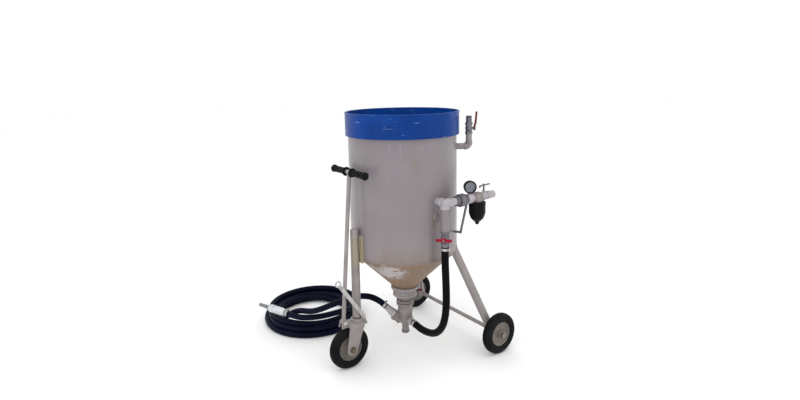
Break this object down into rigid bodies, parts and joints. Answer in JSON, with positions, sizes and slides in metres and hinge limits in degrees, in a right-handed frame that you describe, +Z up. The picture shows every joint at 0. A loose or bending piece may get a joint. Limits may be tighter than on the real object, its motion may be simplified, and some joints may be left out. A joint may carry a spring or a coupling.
{
  "type": "portable abrasive blasting pot",
  "caption": "Wheeled abrasive blasting pot: open-topped pressure tank with conical outlet, swivelling front caster with tow handle, air manifold and coiled blast hose.",
  "frame": {"origin": "on the floor under the middle of the machine without its hoses, 3 mm behind the middle of its length and on the tank axis", "axes": "+Z up along the tank axis, -Y towards the front caster and tow handle, +X towards the air manifold"},
  "size_m": [1.247, 0.9482, 1.198],
  "materials": {
    "white_paint": "gloss, dusty",
    "cone_paint": "worn, rust and sand stained",
    "blue_paint": "gloss",
    "red_coating": "plastic dipped",
    "zinc_steel": "satin zinc",
    "dark_iron": "rough",
    "chrome_brass": "polished",
    "bronze": "oiled",
    "pad_paint": "matt",
    "rim_paint": "semi gloss",
    "tyre_rubber": "matt",
    "seal_rubber": "matt",
    "hose_rubber": "satin",
    "grip_rubber": "matt",
    "black_plastic": "semi gloss",
    "needle_paint": "matt",
    "clear_glass": "polished",
    "cast_aluminium": "cast"
  },
  "bodies": {
    "tank": {"tank_shell": "white_paint", "tank_head": "white_paint", "filling_seal": "seal_rubber", "collar": "blue_paint", "tank_cone": "cone_paint", "air_standpipe": "white_paint", "leg_pad": "pad_paint", "front_leg": "white_paint", "swivel_bush": "bronze", "rear_legs": "white_paint", "rear_axle": "white_paint", "axle_caps": "zinc_steel", "vent_pipe": "white_paint", "vent_valve_body": "zinc_steel", "pipe_cross": "white_paint", "pipe_union": "dark_iron", "gauge_tee": "white_paint", "gauge_case": "black_plastic", "gauge_glass": "clear_glass", "filter_head": "cast_aluminium", "filter_bowl": "black_plastic", "inlet_valve_body": "white_paint", "manifold_brace": "zinc_steel", "side_plug": "white_paint", "down_pipe": "white_paint", "air_valve_body": "zinc_steel", "hose_fittings": "zinc_steel", "air_hose": "hose_rubber", "media_valve": "white_paint", "metering_valve": "cast_aluminium", "outlet_reducer": "white_paint", "blast_hose_lead": "hose_rubber", "blast_hose_coil": "hose_rubber", "blast_hose_end": "hose_rubber", "blast_nozzle": "cast_aluminium"},
    "popup": {"popup_valve": "seal_rubber"},
    "fork": {"swivel_fork": "white_paint", "kingpin": "zinc_steel", "thrust_washer": "bronze", "front_axle_bolt": "zinc_steel", "fork_pins": "zinc_steel"},
    "front_wheel": {"front_tyre": "tyre_rubber", "front_rim": "rim_paint"},
    "tow_handle": {"tow_tube": "white_paint", "tow_cross_bar": "zinc_steel", "tow_grips": "grip_rubber"},
    "catch": {"catch_lever": "zinc_steel"},
    "rear_wheel_left": {"rear_tyre_left": "tyre_rubber", "rear_rim_left": "rim_paint"},
    "rear_wheel_right": {"rear_tyre_right": "tyre_rubber", "rear_rim_right": "rim_paint"},
    "vent_handle": {"vent_ball": "chrome_brass", "vent_lever": "red_coating"},
    "inlet_handle": {"inlet_ball": "chrome_brass", "inlet_lever": "zinc_steel"},
    "air_handle": {"air_ball": "chrome_brass", "air_valve_handle": "red_coating"},
    "media_handle": {"media_lever": "red_coating"},
    "needle": {"gauge_needle": "needle_paint"},
    "drain": {"filter_drain": "black_plastic"}
  },
  "joints": [
    {"name": "popup_lift", "type": "slide", "parent": "tank", "child": "popup", "axis": [0, 0, 1], "range_m": [0, 0.036]},
    {"name": "fork_swivel", "type": "hinge", "parent": "tank", "child": "fork", "pos_m": [0, -0.283, 0.23], "axis": [0, 0, 1], "range_deg": [-20, 20]},
    {"name": "front_wheel_spin", "type": "hinge", "parent": "fork", "child": "front_wheel", "pos_m": [0, -0.33, 0.1], "axis": [1, 0, 0], "continuous": true},
    {"name": "tow_handle_fold", "type": "hinge", "parent": "fork", "child": "tow_handle", "pos_m": [0, -0.356, 0.232], "axis": [1, 0, 0], "range_deg": [0, 92]},
    {"name": "catch_lever_swing", "type": "hinge", "parent": "fork", "child": "catch", "pos_m": [0.0295, -0.262, 0.246], "axis": [1, 0, 0], "range_deg": [0, 20]},
    {"name": "rear_wheel_left_spin", "type": "hinge", "parent": "tank", "child": "rear_wheel_left", "pos_m": [-0.335, 0.324, 0.1], "axis": [1, 0, 0], "continuous": true},
    {"name": "rear_wheel_right_spin", "type": "hinge", "parent": "tank", "child": "rear_wheel_right", "pos_m": [0.335, 0.324, 0.1], "axis": [1, 0, 0], "continuous": true},
    {"name": "vent_valve_turn", "type": "hinge", "parent": "tank", "child": "vent_handle", "pos_m": [0.18809, 0.25888, 1.109], "axis": [0.5878, 0.809, 0], "range_deg": [0, 90]},
    {"name": "inlet_valve_turn", "type": "hinge", "parent": "tank", "child": "inlet_handle", "pos_m": [0.312, 0.238, 0.802], "axis": [0, 0, 1], "range_deg": [0, 90]},
    {"name": "air_valve_turn", "type": "hinge", "parent": "tank", "child": "air_handle", "pos_m": [0.312, 0, 0.642], "axis": [0.6428, -0.766, 0], "range_deg": [0, 90]},
    {"name": "media_valve_turn", "type": "hinge", "parent": "tank", "child": "media_handle", "pos_m": [0, 0, 0.296], "axis": [0.5878, 0.809, 0], "range_deg": [0, 90]},
    {"name": "gauge_needle_turn", "type": "hinge", "parent": "tank", "child": "needle", "pos_m": [0.312, 0.149, 0.857], "axis": [0.866, -0.5, 0], "range_deg": [-270, 0]},
    {"name": "filter_drain_turn", "type": "hinge", "parent": "tank", "child": "drain", "pos_m": [0.312, 0.196, 0.676], "axis": [0, 0, 1], "range_deg": [0, 180]}
  ]
}
